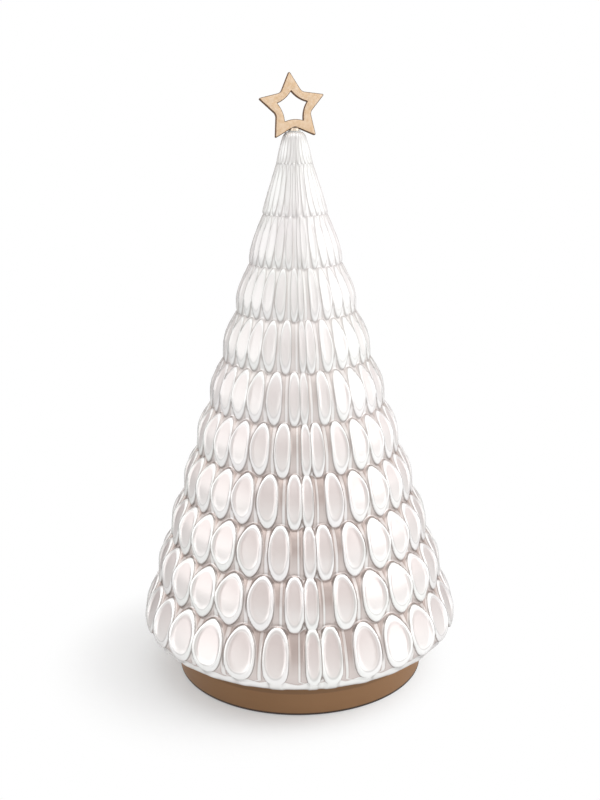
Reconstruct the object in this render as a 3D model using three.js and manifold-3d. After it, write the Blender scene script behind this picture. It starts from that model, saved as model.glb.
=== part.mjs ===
// Tealight holder in the form of a Christmas tree: a hollow glass tree with a metal star,
// which lifts off a round base with a candle cup in its middle.
// Millimetres. The origin is the middle of the underside of the foot pad, +Z is up,
// and the front of the object looks along -Y.

import * as THREE from "three";
import { mergeVertices } from "three/addons/utils/BufferGeometryUtils.js";
import Module from "manifold-3d";

// Gap between pieces that fit into each other
const CLEARANCE = 0.3;

// Foot pad of felt, which ends a little inside the wall of the pan
const PAD_INSET = 1.8;
const PAD_THICKNESS = 1.2;

// Board that fills the base, with a pocket for the nut in its underside
const BOARD_THICKNESS = 16;
const POCKET_RADIUS = 7;
const POCKET_DEPTH = 6;

// Pressed pan of the base
const PAN_RADIUS = 70;
const PAN_SHEET = 1.2;
const PAN_BEND_RADIUS = 0.9;
const PAN_LIFT = 0.3;

// Plate that keeps the glass in the middle
const PLATE_THICKNESS = 2.5;
const PLATE_CHAMFER = 0.6;
const PLATE_PLAY = 0.8;

// Candle cup for one tealight
const TEALIGHT_RADIUS = 19.3;
const TEALIGHT_PLAY = 1;
const CUP_SHEET = 0.8;
const CUP_HEIGHT = 14;
const CUP_BEND_RADIUS = 1.5;
const CUP_ROLL_RADIUS = 1.1;
const DIMPLE_PLAY = 1;

// Screw, washer and nut that clamp the base together
const SCREW_RADIUS = 1.9;
const SCREW_HEAD_RADIUS = 4;
const SCREW_HEAD_HEIGHT = 2;
const SCREW_CROSS_LENGTH = 4.6;
const SCREW_CROSS_WIDTH = 0.9;
const SCREW_CROSS_DEPTH = 1.1;
const SCREW_TAIL = 0.8;
const CUP_WASHER_RADIUS = 4.5;
const CUP_WASHER_THICKNESS = 0.8;
const CUP_NUT_FLATS = 7;
const CUP_NUT_HEIGHT = 3.2;

// Glass tree. Its grooves part the tiers, and heights count from its rim.
const TIERS = 11;
const RIM_RADIUS = 69;
const RIM_INNER_RADIUS = 63.5;
const SKIRT_RADIUS = 89.9;
const SKIRT_HEIGHT = 14;
const LOW_GROOVE_RADIUS = 80.4;
const LOW_GROOVE_HEIGHT = 36.2;
const TOP_GROOVE_RADIUS = 9.7;
const FLANK_HOLLOW = 0.8;
const LOW_TIER_HEIGHT = 24.75;
const TIER_HEIGHT_GROWTH = 0.2;
const TIP_FLAT_RADIUS = 3.8;
const TIP_BEVEL_RADIUS = 5.6;
const TIP_BEVEL_HEIGHT = 2;
const TIP_HEIGHT = 282;
const TIP_THICKNESS = 9;
const GLASS_WALL = 3.4;
const SKIRT_WALL = 5.2;
const INNER_WAVE = 1.4;
const FLANK_SLOPE = 0.31;

// Oval cells of the glass: steps round a tier, the turn of the front mould seam, and widths
// as shares of a step, which are narrow at a seam and grow away from it
const CELLS = 28;
const SEAM_TURN_DEG = 4.5;
const CELL_NARROW_SHARE = 0.44;
const CELL_WIDE_GAIN = 0.62;
const CELL_WIDENING_DEG = 20;
const CELL_WIDENING_POWER = 1.25;
const CELL_POINTED_FROM_DEG = 6;
const CELL_POINTED_OVER_DEG = 24;

// Shape of a cell: heights as shares of its tier, and depths as shares of a step
const CELL_HALF_HEIGHT = 0.56;
const CELL_SIDE_SHORTENING = 0.06;
const CELL_CENTRE = 0.5;
const CELL_POWER_ACROSS = 2.3;
const CELL_POWER_ACROSS_FALL = 0.3;
const CELL_POWER_ALONG = 3.2;
const CELL_CREST = 0.9;
const CELL_RIM = 0.2;
const CELL_GROOVE_DEPTH = 0.105;
const CELL_GROOVE_SPREAD = 1.3;
const DISH_WIDTH = 0.8;
const DISH_HEIGHT = 0.75;
const DISH_CENTRE = 0.53;
const DISH_DEPTH = 0.075;
const DISH_STEP = 0.022;
const DISH_POWER = 2.2;
const DISH_FLOOR_END = 0.86;
const DISH_EDGE_WIDTH = 0.24;
const ZIGZAG_SHARE = 0.06;

// Star plate
const STAR_RADIUS = 18.8;
const STAR_NOTCH_RADIUS = 9.8;
const STAR_HOLE_RADIUS = 9.1;
const STAR_HOLE_PINCH = 4.6;
const STAR_THICKNESS = 2.4;
const STAR_TIP_ROUND = 0.08;
const STAR_NOTCH_ROUND = 0.3;
const STAR_ROLL_DEG = 5.5;
const STAR_YAW_DEG = 15;
const STAR_LEAN_BACK_DEG = 10;

// Pin under the star with its ledge and tang, and its grommet, washer and nut
const PIN_RADIUS = 1.5;
const PIN_COLLAR_RADIUS = 2.7;
const PIN_COLLAR_THICKNESS = 0.8;
const PIN_TAIL = 1.2;
const TANG_WIDTH = 3.6;
const TANG_THICKNESS = 0.8;
const TANG_RISE = 3.2;
const LEDGE_DROP = 1.4;
const LEDGE_THICKNESS = 0.4;
const GROMMET_WALL = 0.5;
const GROMMET_FLANGE_RADIUS = 3.4;
const GROMMET_FLANGE_THICKNESS = 0.8;
const PIN_WASHER_RADIUS = 3.6;
const PIN_WASHER_THICKNESS = 0.8;
const WASHER_PLAY = 1.2;
const PIN_NUT_FLATS = 5.5;
const PIN_NUT_HEIGHT = 2.4;

// How finely round things are divided
const SEGMENTS_LARGE = 60;
const SEGMENTS_CUP = 36;
const SEGMENTS_SMALL = 20;
const SEGMENTS_INSIDE = 28;
const FINE_TIERS = 6;
const BEND_STEPS = 2;
const STAR_STEPS = 4;

// The pad follows the inside of the pan
const PAD_RADIUS = PAN_RADIUS - PAN_SHEET - PAD_INSET;

// Levels of the base, from the floor up
const PAD_TOP = PAD_THICKNESS;
const BOARD_TOP = PAD_TOP + BOARD_THICKNESS;
const PAN_TOP = BOARD_TOP + PAN_SHEET;
const PLATE_TOP = PAN_TOP + PLATE_THICKNESS;
const CUP_FLOOR = PLATE_TOP + CUP_SHEET;
const POCKET_ROOF = PAD_TOP + POCKET_DEPTH;
const CUP_WASHER_BOTTOM = POCKET_ROOF - CUP_WASHER_THICKNESS;
const CUP_NUT_BOTTOM = CUP_WASHER_BOTTOM - CUP_NUT_HEIGHT;
const SCREW_HOLE = SCREW_RADIUS + CLEARANCE;
const DIMPLE_RADIUS = SCREW_HEAD_RADIUS + DIMPLE_PLAY;
const DIMPLE_FLOOR = PAN_TOP + CUP_SHEET;

// Share of the lowest cells that lies under the widest ring
const SKIRT_SHARE = 0.16;

// Levels of the glass tip and the star
const TIP_TOP = PAN_TOP + TIP_HEIGHT;
const CAVITY_ROOF = TIP_TOP - TIP_THICKNESS;
const FLANGE_TOP = TIP_TOP + GROMMET_FLANGE_THICKNESS;
const COLLAR_TOP = FLANGE_TOP + PIN_COLLAR_THICKNESS;
const STAR_SEAT = COLLAR_TOP + LEDGE_THICKNESS + LEDGE_DROP;
const PIN_WASHER_BOTTOM = CAVITY_ROOF - PIN_WASHER_THICKNESS;
const PIN_NUT_BOTTOM = PIN_WASHER_BOTTOM - PIN_NUT_HEIGHT;
const PIN_BOTTOM = PIN_NUT_BOTTOM - PIN_TAIL;
const PIN_HOLE = PIN_RADIUS + CLEARANCE;
const GROMMET_RADIUS = PIN_HOLE + GROMMET_WALL;
const TIP_HOLE = GROMMET_RADIUS + CLEARANCE;

const radians = THREE.MathUtils.degToRad;

const wasm = await Module();
wasm.setup();

// A closed three.js geometry as a solid that can be cut and joined
function solid(geometry) {
  const bare = geometry.index ? geometry.toNonIndexed() : geometry.clone();
  bare.deleteAttribute("normal");
  bare.deleteAttribute("uv");
  const merged = mergeVertices(bare, 1e-4);
  return new wasm.Manifold(new wasm.Mesh({
    numProp: 3,
    vertProperties: new Float32Array(merged.attributes.position.array),
    triVerts: new Uint32Array(merged.index.array),
  }));
}

// The solid back as a three.js geometry
function geometryOf(body) {
  const mesh = body.getMesh();
  const geometry = new THREE.BufferGeometry();
  geometry.setAttribute("position", new THREE.BufferAttribute(mesh.vertProperties, 3));
  geometry.setIndex(new THREE.BufferAttribute(mesh.triVerts, 1));
  geometry.computeVertexNormals();
  return geometry;
}

// A profile of [radius, height] points, anticlockwise round its material, turned round +Z
function turned(profile, segments) {
  const points = profile.map(([radius, height]) => new THREE.Vector2(radius, height));
  return new THREE.LatheGeometry(points, segments).rotateX(Math.PI / 2);
}

// Points of a circular arc in a profile, angles in degrees
function arc(radius, height, bend, from, to, steps) {
  const points = [];
  for (let step = 0; step <= steps; step += 1) {
    const angle = radians(from + ((to - from) * step) / steps);
    points.push([radius + bend * Math.cos(angle), height + bend * Math.sin(angle)]);
  }
  return points;
}

// Closes a profile on its first point
function closed(profile) {
  return [...profile, profile[0]];
}

// A washer between two heights
function washer(inner, outer, bottom, top) {
  const profile = [[inner, bottom], [outer, bottom], [outer, top], [inner, top]];
  return turned(closed(profile), SEGMENTS_SMALL);
}

// A hexagon nut with a plain bore, standing on the given height
function hexNut(flats, bore, bottom, height) {
  const corner = flats / Math.sqrt(3);
  const outline = new THREE.Shape();
  for (let side = 0; side < 6; side += 1) {
    const angle = (side * Math.PI) / 3;
    const point = [corner * Math.cos(angle), corner * Math.sin(angle)];
    if (side === 0) {
      outline.moveTo(...point);
    } else {
      outline.lineTo(...point);
    }
  }
  outline.closePath();
  const hole = new THREE.Path();
  hole.absarc(0, 0, bore, 0, 2 * Math.PI, true);
  outline.holes.push(hole);
  const options = { depth: height, bevelEnabled: false, curveSegments: SEGMENTS_SMALL / 2 };
  return new THREE.ExtrudeGeometry(outline, options).translate(0, 0, bottom);
}

// Base

function footPad() {
  const profile = [[0, 0], [PAD_RADIUS, 0], [PAD_RADIUS, PAD_TOP], [0, PAD_TOP]];
  return turned(profile, SEGMENTS_LARGE);
}

function baseBoard() {
  const radius = PAN_RADIUS - PAN_SHEET - CLEARANCE;
  const profile = [
    [SCREW_HOLE, POCKET_ROOF],
    [POCKET_RADIUS, POCKET_ROOF],
    [POCKET_RADIUS, PAD_TOP],
    [radius, PAD_TOP],
    [radius, BOARD_TOP],
    [SCREW_HOLE, BOARD_TOP],
  ];
  return turned(closed(profile), SEGMENTS_LARGE);
}

function basePan() {
  const inside = PAN_RADIUS - PAN_SHEET;
  const bend = PAN_BEND_RADIUS;
  const profile = [
    [SCREW_HOLE, BOARD_TOP],
    [inside, BOARD_TOP],
    [inside, PAN_LIFT],
    [PAN_RADIUS, PAN_LIFT],
    ...arc(PAN_RADIUS - bend, PAN_TOP - bend, bend, 0, 90, BEND_STEPS),
    [SCREW_HOLE, PAN_TOP],
  ];
  return turned(closed(profile), SEGMENTS_LARGE);
}

function centringPlate() {
  const radius = RIM_INNER_RADIUS - PLATE_PLAY;
  const hole = DIMPLE_RADIUS + CUP_SHEET + CLEARANCE;
  const profile = [
    [hole, PAN_TOP],
    [radius, PAN_TOP],
    [radius, PLATE_TOP - PLATE_CHAMFER],
    [radius - PLATE_CHAMFER, PLATE_TOP],
    [hole, PLATE_TOP],
  ];
  return turned(closed(profile), SEGMENTS_LARGE);
}

// Cup with a rolled lip. The dimple in its floor sinks through the centring plate and
// takes the head of the screw, so that the tealight stands level.
function candleCup() {
  const inside = TEALIGHT_RADIUS + TEALIGHT_PLAY;
  const outside = inside + CUP_SHEET;
  const top = PLATE_TOP + CUP_HEIGHT;
  const bend = CUP_BEND_RADIUS;
  const innerBend = bend - CUP_SHEET;
  const roll = CUP_ROLL_RADIUS;
  const rollCentre = inside + roll;
  const rollStart = -THREE.MathUtils.radToDeg(Math.acos((outside - rollCentre) / roll));
  const profile = [
    [SCREW_HOLE, PAN_TOP],
    [DIMPLE_RADIUS + CUP_SHEET, PAN_TOP],
    [DIMPLE_RADIUS + CUP_SHEET, PLATE_TOP],
    ...arc(outside - bend, PLATE_TOP + bend, bend, -90, 0, BEND_STEPS),
    ...arc(rollCentre, top - roll, roll, rollStart, 180, 3 * BEND_STEPS),
    ...arc(inside - innerBend, CUP_FLOOR + innerBend, innerBend, 0, -90, BEND_STEPS),
    [DIMPLE_RADIUS, CUP_FLOOR],
    [DIMPLE_RADIUS, DIMPLE_FLOOR],
    [SCREW_HOLE, DIMPLE_FLOOR],
  ];
  return turned(closed(profile), SEGMENTS_CUP);
}

function cupScrew() {
  const bottom = CUP_NUT_BOTTOM - SCREW_TAIL;
  const top = DIMPLE_FLOOR + SCREW_HEAD_HEIGHT;
  const profile = [
    [0, bottom],
    [SCREW_RADIUS, bottom],
    [SCREW_RADIUS, DIMPLE_FLOOR],
    [SCREW_HEAD_RADIUS, DIMPLE_FLOOR],
    [SCREW_HEAD_RADIUS, DIMPLE_FLOOR + SCREW_HEAD_HEIGHT / 2],
    [SCREW_HEAD_RADIUS * 0.75, DIMPLE_FLOOR + SCREW_HEAD_HEIGHT * 0.9],
    [0, top],
  ];
  let body = solid(turned(profile, SEGMENTS_SMALL));
  for (const turn of [0, Math.PI / 2]) {
    const size = [SCREW_CROSS_LENGTH, SCREW_CROSS_WIDTH, 2 * SCREW_CROSS_DEPTH];
    const slot = new THREE.BoxGeometry(...size).rotateZ(turn).translate(0, 0, top);
    body = body.subtract(solid(slot));
  }
  return geometryOf(body);
}

// Glass tree

// Radius of the groove above a tier, counted from 0 at the bottom
function grooveRadius(groove) {
  const share = groove / (TIERS - 2);
  const straight = THREE.MathUtils.lerp(LOW_GROOVE_RADIUS, TOP_GROOVE_RADIUS, share);
  return straight - FLANK_HOLLOW * Math.sin(Math.PI * share);
}

// Height of that groove above the floor: each tier is a little taller than the one below
function grooveHeight(groove) {
  const growth = (TIER_HEIGHT_GROWTH * groove * (groove - 1)) / 2;
  return PAN_TOP + LOW_GROOVE_HEIGHT + LOW_TIER_HEIGHT * groove + growth;
}

// How far a tier has swollen, from 0 at its upper groove to 1 at its lower one.
// Low tiers are round, and the highest ones are nearly straight cones.
function swelling(tier, down) {
  const roundness = Math.min(2.4, 1.1 + 0.25 * (TIERS - 2 - tier));
  const fullest = Math.min(0.95, 0.75 + 0.1 * Math.max(0, tier - 7));
  if (down > fullest) {
    return 1 + 0.025 * (1 - ((down - fullest) / (1 - fullest)) ** 2);
  }
  return 1.025 * (1 - (1 - down / fullest) ** roundness);
}

// Outer profile from the rim up to the tip. Each point is radius, height, tier, share of
// the way up that tier, and how strongly the cells are worked there.
function glassOutside() {
  const points = [];
  const waist = PAN_TOP + SKIRT_HEIGHT;
  for (const [angle, strength] of [[0, 0], [25, 0.1], [50, 0.5], [71, 1]]) {
    const radius = RIM_RADIUS + (SKIRT_RADIUS - RIM_RADIUS) * Math.sin(radians(angle));
    const height = waist - SKIRT_HEIGHT * Math.cos(radians(angle));
    points.push([radius, height, 0, 0, strength]);
  }
  const neck = grooveHeight(0);
  for (const up of [0, 0.25, 0.5, 0.8]) {
    const radius = grooveRadius(0) + (SKIRT_RADIUS - grooveRadius(0)) * (1 - up ** 2);
    const share = SKIRT_SHARE + (1 - SKIRT_SHARE) * up;
    points.push([radius, waist + (neck - waist) * up, 0, share, 1]);
  }
  for (let tier = 1; tier < TIERS - 1; tier += 1) {
    const [low, high] = [grooveHeight(tier - 1), grooveHeight(tier)];
    const [wide, narrow] = [grooveRadius(tier - 1), grooveRadius(tier)];
    for (const down of [1, 0.82, 0.5, 0.2, 0.06]) {
      const radius = narrow + (wide - narrow) * swelling(tier, down);
      points.push([radius, high + (low - high) * down, tier, 1 - down, 1]);
    }
  }
  const last = grooveRadius(TIERS - 2);
  const start = grooveHeight(TIERS - 2);
  const bevel = TIP_TOP - TIP_BEVEL_HEIGHT;
  const top = TIERS - 1;
  points.push([last, start, top, 0, 1]);
  points.push([(last + TIP_BEVEL_RADIUS) / 2 + 0.3, (start + bevel) / 2, top, 0.5, 1]);
  points.push([TIP_BEVEL_RADIUS, bevel, top, 1, 0]);
  points.push([TIP_FLAT_RADIUS, TIP_TOP, top, 1, 0]);
  points.push([TIP_HOLE, TIP_TOP, top, 1, 0]);
  return points;
}

// Inner profile from the hole in the tip down to the rim: it follows the tiers softly
function glassInside() {
  const points = [[TIP_HOLE, CAVITY_ROOF], [PIN_WASHER_RADIUS + WASHER_PLAY, CAVITY_ROOF]];
  const top = TIERS - 2;
  for (let groove = top; groove > 0; groove -= 1) {
    const [radius, next] = [grooveRadius(groove), grooveRadius(groove - 1)];
    const [height, below] = [grooveHeight(groove), grooveHeight(groove - 1)];
    points.push([radius - GLASS_WALL, height]);
    points.push([(radius + next) / 2 - GLASS_WALL + INNER_WAVE, (height + below) / 2]);
  }
  points.push([grooveRadius(0) - GLASS_WALL, grooveHeight(0)]);
  const waist = PAN_TOP + SKIRT_HEIGHT;
  const widest = SKIRT_RADIUS - SKIRT_WALL;
  points.push([widest - INNER_WAVE, (waist + grooveHeight(0)) / 2]);
  points.push([widest, waist]);
  for (const angle of [60, 30]) {
    const radius = RIM_INNER_RADIUS + (widest - RIM_INNER_RADIUS) * Math.sin(radians(angle));
    points.push([radius, waist - (SKIRT_HEIGHT - GLASS_WALL) * Math.cos(radians(angle))]);
  }
  points.push([RIM_INNER_RADIUS, PAN_TOP + GLASS_WALL]);
  points.push([RIM_INNER_RADIUS, PAN_TOP]);
  return points;
}

// A soft step from 0 to 1
function softStep(value) {
  return THREE.MathUtils.smoothstep(value, 0, 1);
}

// Cells of a tier with their azimuths from the front seam and half widths, in degrees. Both
// mould seams run down the middle of a cell in every tier, and from there each tier is half
// a step off on one of its two sides.
function cellsOf(tier) {
  const cells = [];
  for (let column = 0; column < 2 * CELLS; column += 1) {
    const rightHalf = column < CELLS ? 1 : 0;
    if (column % CELLS === 0 || (column + tier + rightHalf) % 2 === 0) {
      const turn = (column * 180) / CELLS;
      const fromSeam = Math.min(turn % 180, 180 - (turn % 180));
      const widening = 1 - Math.exp(-((fromSeam / CELL_WIDENING_DEG) ** CELL_WIDENING_POWER));
      const half = ((CELL_NARROW_SHARE + CELL_WIDE_GAIN * widening) * 180) / CELLS;
      const side = softStep((fromSeam - CELL_POINTED_FROM_DEG) / CELL_POINTED_OVER_DEG);
      cells.push({ turn, half, side });
    }
  }
  return cells;
}

// Degrees between two azimuths, the short way round
function degreesBetween(azimuth, turn) {
  return Math.abs(((azimuth - turn + 540) % 360) - 180);
}

// Azimuths of the columns of points: the middle of each cell, the groove after it and, where
// the cells are large, the crests of the rims on both sides of that groove
function columnTurns(cells, fine) {
  const turns = [];
  cells.forEach((cell, index) => {
    const next = cells[(index + 1) % cells.length];
    const nextTurn = index + 1 < cells.length ? next.turn : 360;
    turns.push(cell.turn);
    if (fine) {
      turns.push(cell.turn + CELL_CREST * cell.half);
    }
    turns.push((cell.turn + cell.half + nextTurn - next.half) / 2);
    if (fine) {
      turns.push(nextTurn - CELL_CREST * next.half);
    }
  });
  return turns;
}

// How deep the outside lies under its plain profile, as a share of a step: a dish in the
// middle of a cell, nothing on its rim, and a groove beyond the rim
function cellDepth(cells, share, azimuth) {
  let nearest = { outline: Infinity, dish: 0, reach: 0 };
  for (const { turn, half, side } of cells) {
    const across = degreesBetween(azimuth, turn) / half;
    const halfHeight = CELL_HALF_HEIGHT - CELL_SIDE_SHORTENING * side;
    const along = Math.abs(share - CELL_CENTRE) / halfHeight;
    const powerAcross = CELL_POWER_ACROSS - CELL_POWER_ACROSS_FALL * side;
    const outline = across ** powerAcross + along ** (CELL_POWER_ALONG - side);
    if (outline < nearest.outline) {
      const reach = Math.abs(share - DISH_CENTRE) / (halfHeight * DISH_HEIGHT);
      const dish = Math.sqrt((across / DISH_WIDTH) ** DISH_POWER + reach ** DISH_POWER);
      nearest = { outline, dish, reach };
    }
  }
  const fall = Math.max(0, (CELL_RIM - 1 + nearest.outline) / CELL_RIM);
  const groove = CELL_GROOVE_DEPTH * (1 - Math.exp(-((fall / CELL_GROOVE_SPREAD) ** 2)));
  const bowl = DISH_STEP + DISH_DEPTH * Math.max(0, 1 - nearest.reach ** 2);
  return groove + bowl * (1 - softStep((nearest.dish - DISH_FLOOR_END) / DISH_EDGE_WIDTH));
}

// One in the middle of a cell, minus one half a step away
function cellBump(tier, azimuth) {
  const away = Math.min(...cellsOf(tier).map(({ turn }) => degreesBetween(azimuth, turn)));
  return Math.cos(Math.PI * Math.min(1, (away * CELLS) / 180));
}

// How far a groove gives way to the cells above and below it
function grooveShift(groove, azimuth) {
  if (groove < 0 || groove > TIERS - 2) {
    return 0;
  }
  const step = (2 * Math.PI * grooveRadius(groove)) / CELLS;
  return (ZIGZAG_SHARE * step * (cellBump(groove, azimuth) - cellBump(groove + 1, azimuth))) / 2;
}

// A point at an azimuth from the front seam
function pointAt(radius, height, azimuth) {
  const turn = radians(azimuth + SEAM_TURN_DEG - 90);
  return [radius * Math.cos(turn), radius * Math.sin(turn), height];
}

// A ring of points round the outside, worked with the cells. The small tiers near the tip
// have no columns for rims, and dishes half as deep.
function outsideRing([radius, height, tier, share, strength]) {
  const fine = tier < FINE_TIERS;
  const cells = cellsOf(tier);
  const step = (2 * Math.PI * radius) / CELLS;
  const turns = columnTurns(cells, fine);
  const points = turns.map((azimuth, index) => {
    const low = grooveShift(tier - 1, azimuth) * (1 - share) ** 2;
    const shift = strength * (low + grooveShift(tier, azimuth) * share ** 2);
    const part = !fine && index % 2 === 0 ? 0.5 : 1;
    const depth = strength * part * step * cellDepth(cells, share, azimuth);
    return pointAt(radius - depth - FLANK_SLOPE * shift, height + shift, azimuth);
  });
  return { turns, points };
}

function insideRing([radius, height]) {
  const turns = Array.from({ length: SEGMENTS_INSIDE }, (_, index) => (index * 360) / SEGMENTS_INSIDE);
  return { turns, points: turns.map((azimuth) => pointAt(radius, height, azimuth)) };
}

// Joins rings of points to one closed skin. All rings start at the front seam, and between
// two rings the triangles go on from whichever point comes next.
function skinOf(rings) {
  const places = rings.flatMap(({ points }) => points).flat();
  const faces = [];
  let start = 0;
  rings.forEach(({ turns }, index) => {
    const count = turns.length;
    const last = index + 1 === rings.length;
    const next = rings[last ? 0 : index + 1].turns;
    const nextStart = last ? 0 : start + count;
    const here = [...turns, 360];
    const there = [...next, 360];
    let [at, across] = [0, 0];
    while (at < count || across < next.length) {
      const [low, high] = [start + (at % count), nextStart + (across % next.length)];
      if (across === next.length || (at < count && here[at + 1] <= there[across + 1])) {
        at += 1;
        faces.push(low, start + (at % count), high);
      } else {
        across += 1;
        faces.push(low, nextStart + (across % next.length), high);
      }
    }
    start += count;
  });
  const geometry = new THREE.BufferGeometry();
  geometry.setAttribute("position", new THREE.Float32BufferAttribute(places, 3));
  geometry.setIndex(faces);
  geometry.computeVertexNormals();
  return geometry;
}

function glassTree() {
  return skinOf([...glassOutside().map(outsideRing), ...glassInside().map(insideRing)]);
}

function tipGrommet() {
  const profile = [
    [PIN_HOLE, CAVITY_ROOF],
    [GROMMET_RADIUS, CAVITY_ROOF],
    [GROMMET_RADIUS, TIP_TOP],
    [GROMMET_FLANGE_RADIUS, TIP_TOP],
    [GROMMET_FLANGE_RADIUS, FLANGE_TOP],
    [PIN_HOLE, FLANGE_TOP],
  ];
  return turned(closed(profile), SEGMENTS_SMALL);
}

// Star

// A point of the star plate at a radius and at a number of tenths of a turn from its top
function starPoint(radius, tenths) {
  const angle = Math.PI / 2 + (tenths * Math.PI) / 5;
  return new THREE.Vector2(radius * Math.cos(angle), radius * Math.sin(angle));
}

// Outline with five tips: straight edges, rounded tips and wider rounded notches
function starOutline() {
  const outline = new THREE.Shape();
  for (let tenths = 0; tenths < 10; tenths += 1) {
    const isTip = tenths % 2 === 0;
    const corner = starPoint(isTip ? STAR_RADIUS : STAR_NOTCH_RADIUS, tenths);
    const before = starPoint(isTip ? STAR_NOTCH_RADIUS : STAR_RADIUS, tenths - 1);
    const after = starPoint(isTip ? STAR_NOTCH_RADIUS : STAR_RADIUS, tenths + 1);
    const round = isTip ? STAR_TIP_ROUND : STAR_NOTCH_ROUND;
    const start = corner.clone().lerp(before, round);
    const end = corner.clone().lerp(after, round);
    if (tenths === 0) {
      outline.moveTo(start.x, start.y);
    } else {
      outline.lineTo(start.x, start.y);
    }
    outline.quadraticCurveTo(corner.x, corner.y, end.x, end.y);
  }
  outline.closePath();
  return outline;
}

// Hole with five sharp tips and sides that bow inwards
function starHole() {
  const hole = new THREE.Path();
  const first = starPoint(STAR_HOLE_RADIUS, 0);
  hole.moveTo(first.x, first.y);
  for (let tip = 1; tip <= 5; tip += 1) {
    const pinch = starPoint(STAR_HOLE_PINCH, 2 * tip - 1);
    const end = starPoint(STAR_HOLE_RADIUS, 2 * tip);
    hole.quadraticCurveTo(pinch.x, pinch.y, end.x, end.y);
  }
  return hole;
}

// The plate with the point of its lower notch at the origin, upright and facing -Y
function starPlate() {
  const outline = starOutline();
  outline.holes.push(starHole());
  const options = { depth: STAR_THICKNESS, bevelEnabled: false, curveSegments: STAR_STEPS };
  const notch = starPoint(STAR_NOTCH_RADIUS, 5);
  return new THREE.ExtrudeGeometry(outline, options)
    .translate(-notch.x, -notch.y, -STAR_THICKNESS / 2)
    .rotateZ(radians(STAR_ROLL_DEG))
    .rotateX(Math.PI / 2);
}

// How the star leans back and turns, and where the point of its notch is
function starFrame() {
  const lean = radians(-STAR_LEAN_BACK_DEG);
  const turn = new THREE.Euler(lean, 0, radians(STAR_YAW_DEG), "ZYX");
  return { turn, seat: new THREE.Vector3(0, 0, STAR_SEAT) };
}

// Pin: shank and collar, a ledge under the notch of the plate, and a tang behind the plate,
// which is soldered to it and leans as the plate does
function starPin() {
  const { turn, seat } = starFrame();
  const place = new THREE.Matrix4().makeRotationFromEuler(turn).setPosition(seat);
  const room = STAR_THICKNESS + 2 * CLEARANCE;
  const below = LEDGE_DROP + LEDGE_THICKNESS + PIN_COLLAR_THICKNESS / 3;
  const rise = TANG_RISE - LEDGE_DROP;
  const holder = new THREE.BoxGeometry(TANG_WIDTH, room + TANG_THICKNESS, rise + below);
  holder.translate(0, TANG_THICKNESS / 2, (rise - below) / 2).applyMatrix4(place);
  const cut = new THREE.BoxGeometry(3 * TANG_WIDTH, 3 * room, 2 * TANG_RISE);
  cut.translate(0, -room, TANG_RISE - LEDGE_DROP).applyMatrix4(place);
  const profile = [
    [0, PIN_BOTTOM],
    [PIN_RADIUS, PIN_BOTTOM],
    [PIN_RADIUS, FLANGE_TOP],
    [PIN_COLLAR_RADIUS, FLANGE_TOP],
    [PIN_COLLAR_RADIUS, COLLAR_TOP],
    [0, COLLAR_TOP],
  ];
  const stem = turned(profile, SEGMENTS_SMALL);
  return geometryOf(solid(stem).add(solid(holder)).subtract(solid(cut)));
}

// Finishes

function finish(color, roughness, metalness) {
  return new THREE.MeshStandardMaterial({ color, roughness, metalness });
}

const opalGlass = finish("#f4f0ec", 0.25, 0);
const bronzePaint = finish("#86674b", 0.6, 0);
const champagneMetal = finish("#e2c6a2", 0.45, 1);
const zincSteel = finish("#b4b6b8", 0.4, 1);
const clearSilicone = finish("#e6e4e0", 0.5, 0);
const fibreboard = finish("#a08058", 0.9, 0);
const blackFelt = finish("#2c2826", 1, 0);

function piece(name, geometry, material) {
  const mesh = new THREE.Mesh(geometry, material);
  mesh.name = name;
  return mesh;
}

// Assembly

const base = new THREE.Group();
base.add(
  piece("foot_pad", footPad(), blackFelt),
  piece("base_board", baseBoard(), fibreboard),
  piece("base_pan", basePan(), bronzePaint),
  piece("centring_plate", centringPlate(), bronzePaint),
  piece("candle_cup", candleCup(), champagneMetal),
  piece("cup_screw", cupScrew(), zincSteel),
  piece("cup_washer", washer(SCREW_HOLE, CUP_WASHER_RADIUS, CUP_WASHER_BOTTOM, POCKET_ROOF), zincSteel),
  piece("cup_nut", hexNut(CUP_NUT_FLATS, SCREW_HOLE, CUP_NUT_BOTTOM, CUP_NUT_HEIGHT), zincSteel),
);

const star = piece("star_plate", starPlate(), champagneMetal);
const { turn, seat } = starFrame();
star.rotation.copy(turn);
star.position.copy(seat);

const tree = new THREE.Group();
tree.add(
  piece("glass_tree", glassTree(), opalGlass),
  piece("tip_grommet", tipGrommet(), clearSilicone),
  piece("star_pin", starPin(), champagneMetal),
  piece("pin_washer", washer(PIN_HOLE, PIN_WASHER_RADIUS, PIN_WASHER_BOTTOM, CAVITY_ROOF), zincSteel),
  piece("pin_nut", hexNut(PIN_NUT_FLATS, PIN_HOLE, PIN_NUT_BOTTOM, PIN_NUT_HEIGHT), zincSteel),
  star,
);

const holder = new THREE.Group();
holder.add(base, tree);

export default holder;
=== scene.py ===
# %% [markdown]
# A glass Christmas tree for a tealight. The tree is one hollow piece of opal glass that was
# blown into a steel mould, with a metal star on its tip. It stands like a bell on a low round
# base and lifts off, so that the candle in the cup under it can be changed.
# The engineering model comes first. It is loaded as a fixed frame in metres, and every piece
# made here takes its place from it.

# %% Load the frame
import math

import bpy
import numpy as np
from mathutils import Matrix, Vector


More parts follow.
